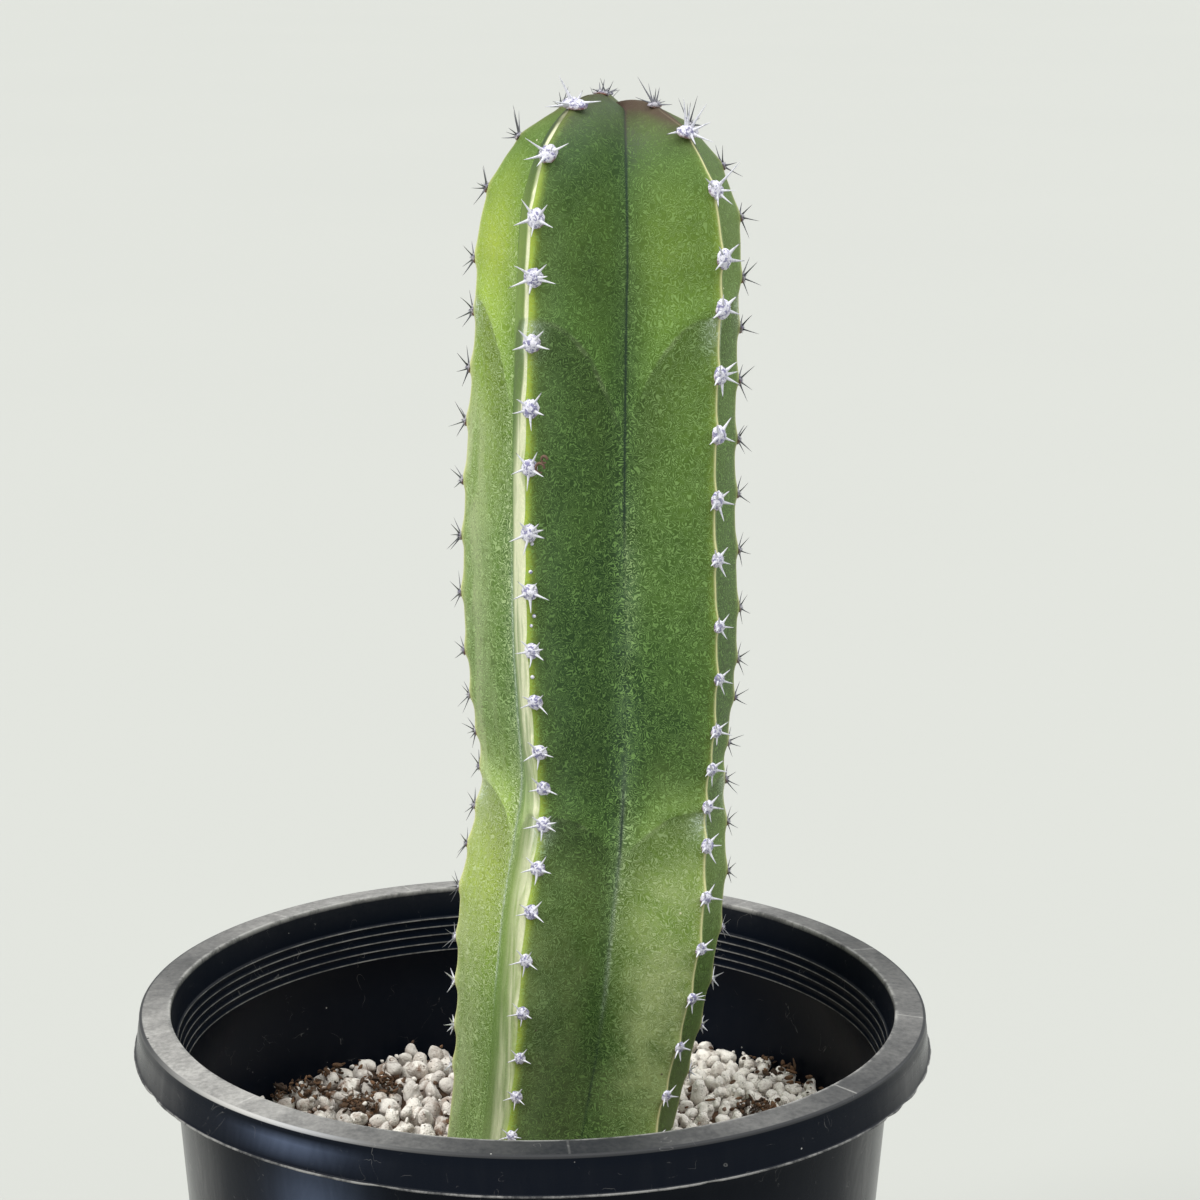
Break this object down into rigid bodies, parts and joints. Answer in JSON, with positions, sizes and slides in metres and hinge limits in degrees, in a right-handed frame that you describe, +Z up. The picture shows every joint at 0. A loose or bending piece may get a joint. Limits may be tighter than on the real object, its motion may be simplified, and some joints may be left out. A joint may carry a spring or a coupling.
{
  "type": "potted columnar cactus",
  "caption": "columnar cactus with deep ribs and short white spines, standing in a black nursery pot top dressed with pale pumice",
  "frame": {"origin": "middle of the pot's foot, on the pot's axis, at the level it stands on", "axes": "+Z runs up the pot's axis, -Y is the side from which two ribs show face on, +X is to the right of that side"},
  "size_m": [0.2524, 0.2524, 0.494],
  "materials": {
    "black_plastic": "satin, dusty",
    "potting_mix": "rough",
    "pumice": "rough",
    "green_skin": "waxy, satin"
  },
  "bodies": {
    "root": {"pot": "black_plastic", "soil": "potting_mix", "pumice": "pumice", "stem": "green_skin"}
  },
  "joints": []
}
